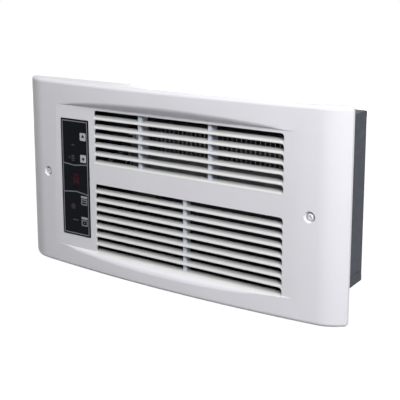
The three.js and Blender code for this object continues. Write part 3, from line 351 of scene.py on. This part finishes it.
# The top and bottom rims of the sunk panel are rounded. They run out to nothing at both ends, so
# the rounding does too, and along the bottom it stays clear of the lowest louvre's slot.
grille_middle = 0.0046
rim_low, rim_high = 0.085, 0.1               # a rim's height above or below the middle
least_depth = 0.0002                         # how far its edge stands out from the sunk panel
upright_tilt = 0.05                          # the most that the face before its edge leans
slope_tilt_low, slope_tilt_high = 0.6, 0.72  # how much the sloping face behind its edge leans
rim_round = 0.003
full_round_depth = 0.004
top_share = 0.9
slope_run = 1.12                             # the bottom slope's height for its depth
slot_overlap = 0.0025                        # how much of that height the lowest slot takes
slope_use = 0.85                             # the share of the rest that the rounding may take


def rim_share(depth, height, across):
    """The share of the full rounding that a rim edge gets at its depth, height and place."""
    share = (top_share if height > 0 else 1) * min(1, depth / full_round_depth)
    if height < 0 and slot_left < across < slot_right:
        slope = (slope_run * depth - slot_overlap) * math.hypot(1, slope_run) / slope_run
        space = min(1, max(0, slope_use * slope / rim_round))
        share *= space * space * (3 - 2 * space)
    return share


edge_faces = {}
for polygon in grille.data.polygons:
    for key in polygon.edge_keys:
        edge_faces.setdefault(key, []).append(polygon.normal)
weights = grille.data.attributes.new("bevel_weight_edge", "FLOAT", "EDGE")
for edge in grille.data.edges:
    first, second = [grille.data.vertices[index].co for index in edge.vertices]
    depth = panel_face - max(first.y, second.y)
    height = (first.z + second.z) / 2 - grille_middle
    across = (first.x + second.x) / 2
    tilts = sorted(abs(normal.z) for normal in edge_faces[tuple(sorted(edge.vertices))])
    on_rim = depth > least_depth and rim_low < abs(height) < rim_high
    if on_rim and tilts[0] < upright_tilt and slope_tilt_low < tilts[1] < slope_tilt_high:
        weights.data[edge.index].value = rim_share(depth, height, across)
pick(grille)
apply(grille, "BEVEL", {
    "limit_method": "WEIGHT", "width": rim_round, "segments": 4, "use_clamp_overlap": False})
smooth_curves(grille, crease=25)
fit(grille, "front_grille", "heater", grille_white)

# Grille screws: steel pan heads with a cross recess, painted to match the grille, one at the
# bottom of a dimple at each side. They hold it to the can's ears.
screw_white = satin_white("screw_white", colour(232, 231, 235), roughness=0.34, texture=0.00001)
for side in ["left", "right"]:
    dress("grille_screw_" + side, "heater", screw_white, crease=40)


# Control strip: a black plastic plate let into the panel at its left end, with a printed grey
# border line and two shallow chevron lines that part it into three fields.
film_grain = 0.000006


def strip_film(name, shade, roughness):
    film = Finish(name)
    drift = film.noise(0.02)
    grain = film.noise(0.0004, detail=2)
    smear = film.step(film.noise(0.012, detail=4, stretch=(1, 1, 0.35)), 0.45, 0.75)
    return film.finish({
        "Base Color": film.tint(drift, shade, toned(shade, 1.5)),
        "Roughness": roughness + smear * 0.14 + (grain - 0.5) * 0.06,
        "Specular IOR Level": 0.05, "Normal": film.bump(grain, film_grain)})


strip_black = strip_film("strip_black", colour(8, 10, 16), roughness=0.36)
dress("control_bezel", "heater", strip_black)
strip_low, strip_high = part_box("control_bezel")
strip_face = strip_low.y
print_depth = 0.00006


def flat_shape(name, corners, place, width, height):
    """A flat outline that faces the room: four corners for a plate, three for an arrow head."""
    bpy.ops.object.select_all(action="DESELECT")
    turn = (math.pi / 2, 0, 0)
    if corners == 4:
        bpy.ops.mesh.primitive_plane_add(size=1, location=place, rotation=turn)
    else:
        bpy.ops.mesh.primitive_circle_add(
            vertices=corners, radius=0.5, fill_type="NGON", location=place, rotation=turn)
    piece = bpy.context.object
    piece.name = name
    piece.scale = (width, height, 1)
    bpy.ops.object.transform_apply(location=True, rotation=True, scale=True)
    return piece


def print_on(piece, body, material, corner=0, line=0):
    """Rounds a flat shape's corners, leaves only its outline if a line width is given, and
    gives it the thickness of the ink."""
    pick(piece)
    bpy.ops.object.mode_set(mode="EDIT")
    bpy.ops.mesh.select_all(action="SELECT")
    if corner:
        bpy.ops.mesh.bevel(affect="VERTICES", offset=corner, segments=4)
    if line:
        bpy.ops.mesh.select_all(action="SELECT")
        bpy.ops.mesh.inset(thickness=line)
        bpy.ops.mesh.delete(type="FACE")
        bpy.ops.mesh.select_all(action="SELECT")
    bpy.ops.mesh.extrude_region_move(TRANSFORM_OT_translate={"value": (0, -print_depth, 0)})
    bpy.ops.mesh.select_all(action="SELECT")
    bpy.ops.mesh.normals_make_consistent(inside=False)
    bpy.ops.object.mode_set(mode="OBJECT")
    coat_all(piece, material)
    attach(piece, body)
    return piece


def ink(name, shade, glow=0):
    paint = Finish(name)
    wear = paint.noise(0.0016)
    return paint.finish({
        "Base Color": paint.tint(wear, shade, toned(shade, 0.75)),
        "Roughness": 0.5 + (wear - 0.5) * 0.2,
        "Normal": paint.bump(wear, 0.000004), "Specular IOR Level": 0.2,
        "Emission Color": shade, "Emission Strength": glow})


line_ink = ink("line_ink", colour(122, 123, 131))
middle_x = (strip_low.x + strip_high.x) / 2
middle_z = (strip_low.z + strip_high.z) / 2
strip_width = strip_high.x - strip_low.x
strip_height = strip_high.z - strip_low.z
border_inset = 0.0016
border_line = 0.0013
border_corner = 0.001
border = flat_shape("strip_border", 4, (middle_x, strip_face, middle_z),
                    strip_width - 2 * border_inset, strip_height - 2 * border_inset)
print_on(border, "heater", line_ink, border_corner, border_line)

# Each chevron is one printed line from border to border, bent at its middle.
chevron_heights = {  # at the left end, at the bend and at the right end
    "upper": (0.0193, 0.0178, 0.0201),
    "lower": (-0.0159, -0.0137, -0.0159),
}
chevron_bends = {"upper": -0.1326, "lower": -0.1295}
chevron_left = strip_low.x + border_inset + border_line
chevron_right = strip_high.x - border_inset - border_line
for place, (left_z, bend_z, right_z) in chevron_heights.items():
    chevron = flat_shape("strip_chevron_" + place, 4, (middle_x, strip_face, 0),
                         chevron_right - chevron_left, border_line)
    pick(chevron)
    bpy.ops.object.mode_set(mode="EDIT")
    bpy.ops.mesh.select_all(action="SELECT")
    bpy.ops.mesh.subdivide(number_cuts=1)
    bpy.ops.object.mode_set(mode="OBJECT")
    for vertex in chevron.data.vertices:
        from_middle = vertex.co.x - middle_x
        if abs(from_middle) < border_line / 2:
            vertex.co.x = chevron_bends[place]
            vertex.co.z += bend_z
        else:
            vertex.co.z += left_z if from_middle < 0 else right_z
    print_on(chevron, "heater", line_ink)

# Indicator marks: the strip's small lamps are off and show through it as dim dots and dashes of
# green, red, amber and grey, each laid on its face like the printed lines.
green_mark = ink("green_mark", colour(60, 68, 64))
red_mark = ink("red_mark", colour(50, 26, 31))
amber_mark = ink("amber_mark", colour(48, 29, 33))
mark_ink = ink("mark_ink", colour(66, 67, 73))
marks = [  # name, corners, place across and up, width, height and ink
    ("fan_mark_left", 4, -0.1340, 0.0422, 0.0020, 0.0015, mark_ink),
    ("fan_mark_right", 4, -0.1316, 0.0422, 0.0020, 0.0015, mark_ink),
    ("heat_dot", 12, -0.1388, 0.0268, 0.0036, 0.0030, red_mark),
    ("mode_mark_upper", 4, -0.1334, 0.0288, 0.0046, 0.0018, green_mark),
    ("mode_mark_middle", 4, -0.1334, 0.0262, 0.0046, 0.0014, green_mark),
    ("mode_mark_lower", 4, -0.1334, 0.0236, 0.0046, 0.0012, green_mark),
    ("timer_dot", 20, -0.1346, -0.0324, 0.0072, 0.0070, amber_mark),
    ("standby_dash", 4, -0.1314, -0.0489, 0.0086, 0.0013, mark_ink),
]
for name, corners, x, z, width, height, material in marks:
    print_on(flat_shape(name, corners, (x, strip_face, z), width, height), "heater", material)

# Keys: four sprung caps in the strip's own black plastic, each with a pale printed sign. The two
# upper signs are plates with an arrow for warmer and cooler, and the two lower ones a bar over
# an open square.
key_names = ["up", "down", "mode", "power"]
key_face = strip_film("key_face", colour(12, 13, 17), roughness=0.4)
sign_ink = ink("sign_ink", colour(192, 193, 198))
bar_ink = ink("bar_ink", colour(172, 173, 178))
pale_line = ink("pale_line", colour(136, 137, 143))
plate_width, plate_height, plate_corner = 0.0090, 0.0092, 0.0012
arrow_width, arrow_height, arrow_shift = 0.0058, 0.0054, 0.0004
sign_width = 0.0094
top_bar_height, top_bar_rise = 0.0026, 0.0042
square_height, square_drop = 0.0074, 0.0018
square_corner, square_line = 0.0010, 0.0014
dash_width, dash_height, dash_drop = 0.0060, 0.0010, 0.0016
dot_size = 0.0014
for key in key_names:
    body = key + "_key"
    node = "key_" + key
    dress(node, body, key_face)
    low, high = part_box(node)
    x = (low.x + high.x) / 2
    z = (low.z + high.z) / 2
    face = low.y
    if key in ("up", "down"):
        plate = flat_shape(node + "_plate", 4, (x, face, z), plate_width, plate_height)
        print_on(plate, body, sign_ink, plate_corner)
        arrow_z = z + arrow_shift if key == "up" else z - arrow_shift
        arrow_place = (x, face - print_depth, arrow_z)
        arrow = flat_shape(node + "_arrow", 3, arrow_place, arrow_width, arrow_height)
        if key == "down":
            pick(arrow)
            bpy.ops.object.mode_set(mode="EDIT")
            bpy.ops.mesh.select_all(action="SELECT")
            bpy.ops.transform.mirror(constraint_axis=(False, False, True),
                                     center_override=(x, face, arrow_z))
            bpy.ops.object.mode_set(mode="OBJECT")
        print_on(arrow, body, key_face)
    else:
        top_bar = flat_shape(node + "_bar", 4, (x, face, z + top_bar_rise), sign_width, top_bar_height)
        print_on(top_bar, body, bar_ink)
        square = flat_shape(node + "_square", 4, (x, face, z - square_drop), sign_width, square_height)
        print_on(square, body, pale_line, square_corner, square_line)
        if key == "mode":
            sign = flat_shape(node + "_middle_line", 4, (x, face, z - dash_drop), dash_width, dash_height)
        else:
            sign = flat_shape(node + "_dot", 12, (x, face, z - square_drop), dot_size, dot_size)
        print_on(sign, body, pale_line)

# Display: a smoked acrylic window let into the strip, over a moulded block that stands on the
# board behind it and shows two seven-bar figures lit a dim red.
smoke = Finish("display_smoke")
smoke_haze = smoke.noise(0.004)
display_smoke = smoke.finish({
    "Base Color": smoke.tint(smoke_haze, colour(27, 28, 33), colour(31, 31, 36)),
    "Roughness": 0.3 + smoke_haze * 0.1, "Alpha": 0.8, "Specular IOR Level": 0.05,
    "Normal": smoke.bump(smoke_haze, 0.000002)})
dress("display_window", "heater", display_smoke)


def moulded(name, shade, roughness, texture=0.000012):
    part = Finish(name)
    flow = part.noise(0.012)
    grain = part.noise(0.0005, detail=2)
    return part.finish({
        "Base Color": part.tint(flow, shade, toned(shade, 1.2)),
        "Roughness": roughness + (grain - 0.5) * 0.16 + (flow - 0.5) * 0.1,
        "Normal": part.bump(grain, texture)})


display_body = moulded("display_body", colour(24, 17, 19), roughness=0.6)
coat_all(nodes["led_display"], display_body)
figure_red = ink("figure_red", colour(146, 8, 52), glow=4)
figure_width, figure_height = 0.0037, 0.0098
bar_width, bar_corner = 0.0012, 0.00025
bars = {  # steps across and up from the figure's middle, and whether the bar is upright
    "top": (0, 1, False), "middle": (0, 0, False), "bottom": (0, -1, False),
    "upper_left": (-1, 0.5, True), "upper_right": (1, 0.5, True),
    "lower_left": (-1, -0.5, True), "lower_right": (1, -0.5, True),
}
figures = [  # name, place across and the bars that are lit
    ("tens", -0.1346, ["top", "upper_left", "middle", "lower_left", "lower_right", "bottom"]),
    ("units", -0.1289, list(bars)),
]
led_low, led_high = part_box("led_display")
led_middle = (led_low.z + led_high.z) / 2
for figure, x, lit in figures:
    for name in lit:
        across, up, upright = bars[name]
        place = (x + across * figure_width / 2, led_low.y, led_middle + up * figure_height / 2)
        length = figure_height / 2 - bar_width / 2 if upright else figure_width - bar_width / 2
        size = (bar_width, length) if upright else (length, bar_width)
        bar = flat_shape("figure_" + figure + "_" + name, 4, place, *size)
        print_on(bar, "heater", figure_red, bar_corner)

# Control board, its key switches and its housing: a green board of tactile switches behind the
# strip, screwed down by a black moulded cover, with the room temperature sensor at its foot.
switch_black = moulded("switch_black", colour(30, 30, 33), roughness=0.4)
housing_black = moulded("housing_black", colour(34, 35, 38), roughness=0.5)
sensor_black = moulded("sensor_black", colour(26, 26, 28), roughness=0.35)


def solder_mask(name):
    board = Finish(name)
    weave = board.noise(0.0008, detail=2)
    place = board.node("ShaderNodeMapping", {}, {"Vector": board.place, "Rotation": (math.pi / 2, 0, 0)})
    track = board.node("ShaderNodeTexBrick", {"offset": 0.5, "squash": 0.6}, {
        "Vector": place, "Scale": 220, "Mortar Size": 0.06, "Mortar Smooth": 0.3,
        "Brick Width": 1.6, "Row Height": 0.5}, "Fac")
    pads = board.node("ShaderNodeTexVoronoi", {"distance": "MINKOWSKI"}, {
        "Vector": place, "Scale": 260, "Randomness": 0.7}, "Distance")
    pad = 1 - board.step(pads, 0.1, 0.16)
    mask = board.tint(track * 0.7, colour(20, 74, 44), colour(46, 110, 66))
    woven = board.tint(weave * 0.3, mask, colour(12, 56, 32))
    return board.finish({
        "Base Color": board.tint(pad, woven, colour(196, 196, 190)),
        "Metallic": pad, "Roughness": 0.3 + weave * 0.15,
        "Normal": board.bump(track * 0.3 + pad, 0.00003)})


board_green = solder_mask("board_green")
coat_all(nodes["control_board"], board_green)
for key in key_names:
    coat_all(nodes["key_" + key + "_switch"], switch_black)
dress("control_housing", "heater", housing_black)
dress("temperature_sensor", "heater", sensor_black, crease=40)


def bright_metal(name, shade, roughness, line=(1, 1, 1)):
    metal = Finish(name)
    drawn = metal.noise(0.0008, detail=4, stretch=line)
    stain = metal.noise(0.01)
    return metal.finish({
        "Base Color": metal.tint(stain * 0.6 + drawn * 0.3, shade, toned(shade, 0.72)), "Metallic": 1,
        "Roughness": roughness + (drawn - 0.5) * 0.2 + (stain - 0.5) * 0.12,
        "Normal": metal.bump(drawn, 0.000012)})


screw_zinc = bright_metal("screw_zinc", colour(190, 190, 186), roughness=0.32)
for end in ["lower", "upper"]:
    dress("housing_screw_" + end, "heater", screw_zinc, crease=40)


# Wall can: a box folded from thin steel sheet, painted a plain dark grey and open at the front. It
# has ears for the grille screws, knockouts for the cable and holes in its sides for stud screws.
def painted_sheet(name, shade, roughness, metallic):
    sheet = Finish(name)
    flakes = sheet.node("ShaderNodeTexVoronoi", {}, {"Vector": sheet.place, "Scale": 160}, "Color")
    flake = sheet.node("ShaderNodeSeparateColor", {}, {"Color": flakes})
    rolled = sheet.noise(0.0016, stretch=(0.2, 1, 1))
    cloud = sheet.noise(0.05, detail=4)
    scuff = sheet.step(sheet.noise(0.006, detail=5, stretch=(1, 0.3, 1)), 0.62, 0.8)
    base = sheet.tint(flake * 0.25 + cloud * 0.5, shade, toned(shade, 1.3))
    return sheet.finish({
        "Base Color": sheet.tint(scuff * 0.2, base, colour(168, 170, 174)), "Metallic": metallic,
        "Specular IOR Level": 0.25,
        "Roughness": roughness + (flake - 0.5) * 0.1 + (cloud - 0.5) * 0.1,
        "Normal": sheet.bump(rolled + flake * 0.3, 0.000015)})


can_grey = painted_sheet("can_grey", colour(61, 64, 72), roughness=0.6, metallic=0.1)
dress("wall_can", "heater", can_grey, crease=25)

# The can's top and bottom sheets are folded over its sides, and each tab is spot welded. One tab
# is made, and the four are copies of it, turned over as each corner needs.
can_low, can_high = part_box("wall_can")
tab_length, tab_height, tab_thickness = 0.099, 0.012, 0.0005
tab_corner, tab_edge = 0.006, 0.00015
weld_pitch = 0.030
weld_ball, weld_depth = 0.006, 0.0003
tab_middle_y = (can_low.y + can_high.y) / 2
tab_middle_z = can_high.z - tab_height / 2


def can_tab():
    """One tab at the top of the can's right side, with a shallow dimple at each weld."""
    outside = can_high.x + tab_thickness + weld_ball - weld_depth
    balls = []
    for along in (-weld_pitch, 0, weld_pitch):
        bpy.ops.mesh.primitive_uv_sphere_add(
            segments=24, ring_count=16, radius=weld_ball,
            location=(outside, tab_middle_y + along, tab_middle_z))
        balls.append(bpy.context.object)
    for ball in balls:
        ball.select_set(True)
    bpy.ops.object.join()
    welds = bpy.context.object
    bpy.ops.object.select_all(action="DESELECT")
    bpy.ops.mesh.primitive_plane_add(size=1, location=(can_high.x, tab_middle_y, tab_middle_z),
                                     rotation=(0, math.pi / 2, 0))
    tab = bpy.context.object
    tab.scale = (tab_height, tab_length, 1)
    bpy.ops.object.transform_apply(location=True, rotation=True, scale=True)
    inner_corners = [vertex.co.z < tab_middle_z for vertex in tab.data.vertices]
    bpy.ops.object.mode_set(mode="EDIT")
    bpy.ops.mesh.select_mode(type="VERT")
    bpy.ops.mesh.select_all(action="DESELECT")
    bpy.ops.object.mode_set(mode="OBJECT")
    for vertex, chosen in zip(tab.data.vertices, inner_corners):
        vertex.select = chosen
    bpy.ops.object.mode_set(mode="EDIT")
    bpy.ops.mesh.bevel(affect="VERTICES", offset=tab_corner, segments=1)
    bpy.ops.mesh.select_all(action="SELECT")
    bpy.ops.mesh.extrude_region_move(TRANSFORM_OT_translate={"value": (tab_thickness, 0, 0)})
    bpy.ops.mesh.select_all(action="SELECT")
    bpy.ops.mesh.normals_make_consistent(inside=False)
    bpy.ops.object.mode_set(mode="OBJECT")
    apply(tab, "BEVEL", {"width": tab_edge, "segments": 2})
    apply(tab, "BOOLEAN", {"operation": "DIFFERENCE", "object": welds, "solver": "EXACT"})
    bpy.data.objects.remove(welds)
    smooth_curves(tab, crease=35)
    coat_all(tab, can_grey)
    return tab


first_tab = can_tab()
for side, across in (("right", 1), ("left", -1)):
    for end, up in (("upper", 1), ("lower", -1)):
        tab = first_tab.copy()
        tab.data = first_tab.data.copy()
        tab.name = "can_tab_" + side + "_" + end
        bpy.context.scene.collection.objects.link(tab)
        pick(tab)
        bpy.ops.object.mode_set(mode="EDIT")
        bpy.ops.mesh.select_all(action="SELECT")
        bpy.ops.transform.resize(value=(across, 1, up), center_override=(0, 0, 0))
        bpy.ops.mesh.normals_make_consistent(inside=False)
        bpy.ops.object.mode_set(mode="OBJECT")
        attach(tab, "heater")
bpy.data.objects.remove(first_tab)

# Blower housing: two end plates, a rolled scroll and the deck that turns the air outwards,
# all of galvanised sheet, held down by foot screws.
sheet_galvanised = painted_sheet("sheet_galvanised", colour(148, 150, 152), roughness=0.42, metallic=0.85)
for node in ["blower_end_left", "blower_end_right", "blower_scroll", "air_deck"]:
    dress(node, "heater", sheet_galvanised, crease=25)
for side in ["left", "right"]:
    for end in ["lower", "upper"]:
        dress("foot_screw_" + side + "_" + end, "heater", screw_zinc, crease=40)

# Blower wheel: a long drum of thin curved aluminium blades between two end discs, turning on
# a steel shaft in a rubber-mounted bearing.
wheel_aluminium = bright_metal("wheel_aluminium", colour(176, 178, 180), roughness=0.38, line=(0.05, 1, 1))
shaft_steel = bright_metal("shaft_steel", colour(170, 170, 172), roughness=0.25, line=(1, 0.1, 0.1))
bearing_rubber = moulded("bearing_rubber", colour(28, 28, 28), roughness=0.75, texture=0.00003)
dress("blower_wheel", "fan", wheel_aluminium)
dress("fan_shaft", "fan", shaft_steel, crease=50)
dress("end_bearing", "heater", bearing_rubber, crease=40)


# Motor: a small shaded-pole motor, a stack of steel sheets with a taped coil round its lower
# leg, a cast rotor, and a bridge bolted on at each side.
def stacked_steel(name, shade):
    stack = Finish(name)
    sheets = stack.node("ShaderNodeTexWave", {"wave_type": "BANDS", "bands_direction": "X"}, {
        "Vector": stack.place, "Scale": 320, "Distortion": 0.3, "Detail": 1})
    stain = stack.noise(0.006, detail=4)
    rust = stack.step(stack.noise(0.004, detail=5), 0.6, 0.78)
    base = stack.tint(sheets * 0.5 + stain * 0.4, shade, colour(58, 60, 66))
    return stack.finish({
        "Base Color": stack.tint(rust * 0.35, base, colour(112, 74, 50)),
        "Metallic": 1 - rust * 0.6, "Roughness": 0.42 + stain * 0.2,
        "Normal": stack.bump(sheets + stain * 0.3, 0.00006)})


def coil_tape(name, shade):
    tape = Finish(name)
    wraps = tape.node("ShaderNodeTexWave", {"wave_type": "BANDS", "bands_direction": "Z"}, {
        "Vector": tape.place, "Scale": 46, "Distortion": 0.6, "Detail": 2})
    folds = tape.noise(0.0016, detail=4)
    return tape.finish({
        "Base Color": tape.tint(wraps * 0.5 + folds * 0.3, shade, toned(shade, 0.55)),
        "Roughness": 0.4 + folds * 0.25, "Normal": tape.bump(wraps + folds * 0.4, 0.00012)})


core_steel = stacked_steel("core_steel", colour(122, 124, 128))
coil_wrap = coil_tape("coil_wrap", colour(62, 48, 28))
rotor_aluminium = bright_metal("rotor_aluminium", colour(158, 160, 162), roughness=0.42)
dress("motor_core", "heater", core_steel)
dress("motor_coil", "heater", coil_wrap, crease=50)
dress("motor_rotor", "fan", rotor_aluminium, crease=40)
for side in ["outer", "inner"]:
    dress("motor_bridge_" + side, "heater", sheet_galvanised)
for end in ["front", "rear"]:
    dress("motor_bolt_" + end, "heater", screw_zinc, crease=40)
    dress("motor_spacer_" + end, "heater", screw_zinc, crease=40)

# Heating element: a long rod in thin aluminium fins, carried by a ceramic bushing and a plated
# terminal at each end.
fin_aluminium = bright_metal("fin_aluminium", colour(138, 140, 142), roughness=0.45, line=(1, 0.2, 1))
ceramic = Finish("ceramic_cream")
ceramic_grain = ceramic.noise(0.0007)
ceramic_stain = ceramic.noise(0.007)
ceramic_cream = ceramic.finish({
    "Base Color": ceramic.tint(ceramic_stain, colour(222, 214, 194), colour(198, 186, 160)),
    "Roughness": 0.6 + (ceramic_grain - 0.5) * 0.2, "Normal": ceramic.bump(ceramic_grain, 0.00002)})
terminal_nickel = bright_metal("terminal_nickel", colour(196, 190, 176), roughness=0.28)
dress("heating_element", "heater", fin_aluminium)
for side in ["left", "right"]:
    dress("element_bushing_" + side, "heater", ceramic_cream, crease=40)
    dress("element_terminal_" + side, "heater", terminal_nickel, crease=40)

# Safety cutout, supply terminals and earth screw: a black snap-disc switch by the element, and
# a block with a green earth screw beside it on the back of the can.
cutout_black = moulded("cutout_black", colour(32, 31, 33), roughness=0.45)
screw_green = bright_metal("screw_green", colour(58, 128, 74), roughness=0.35)
dress("thermal_cutout", "heater", cutout_black, crease=40)
dress("terminal_block", "heater", cutout_black)
dress("ground_screw", "heater", screw_green, crease=40)

# Power board: a green board on a galvanised tray, with the relay that switches the element and
# the small transformer that feeds the controls.
relay_blue = moulded("relay_blue", colour(26, 44, 78), roughness=0.35)
transformer_black = moulded("transformer_black", colour(36, 36, 38), roughness=0.5)
coat_all(nodes["power_board"], board_green)
dress("power_tray", "heater", sheet_galvanised)
dress("power_relay", "heater", relay_blue)
dress("board_transformer", "heater", transformer_black)

# Leads: black and white insulated wires between supply block, board, motor, cutout and
# element, and a flat grey ribbon up to the control board.
lead_black = moulded("lead_black", colour(24, 24, 26), roughness=0.4, texture=0.00002)
lead_white = moulded("lead_white", colour(206, 204, 198), roughness=0.42, texture=0.00002)
ribbon = Finish("ribbon_grey")
ribbon_cores = ribbon.node("ShaderNodeTexWave", {"wave_type": "BANDS", "bands_direction": "X"}, {
    "Vector": ribbon.place, "Scale": 250, "Distortion": 0})
ribbon_drift = ribbon.noise(0.006)
ribbon_shade = ribbon.tint(
    ribbon_cores * 0.5 + ribbon_drift * 0.3, colour(168, 170, 172), colour(112, 114, 118))
ribbon_grey = ribbon.finish({
    "Base Color": ribbon_shade,
    "Roughness": 0.45 + ribbon_drift * 0.15, "Normal": ribbon.bump(ribbon_cores, 0.0001)})
lead_finishes = {"lead_black": lead_black, "lead_white": lead_white, "ribbon_grey": ribbon_grey}
lead_slots = {
    "supply_lead_left": "lead_black", "supply_lead_right": "lead_white",
    "cutout_lead": "lead_black", "element_lead_left": "lead_black",
    "element_lead_right": "lead_white", "motor_lead": "lead_white", "control_ribbon": "ribbon_grey",
}
for node, slot in lead_slots.items():
    dress(node, "heater", lead_finishes[slot], crease=75)

bpy.context.view_layer.update()
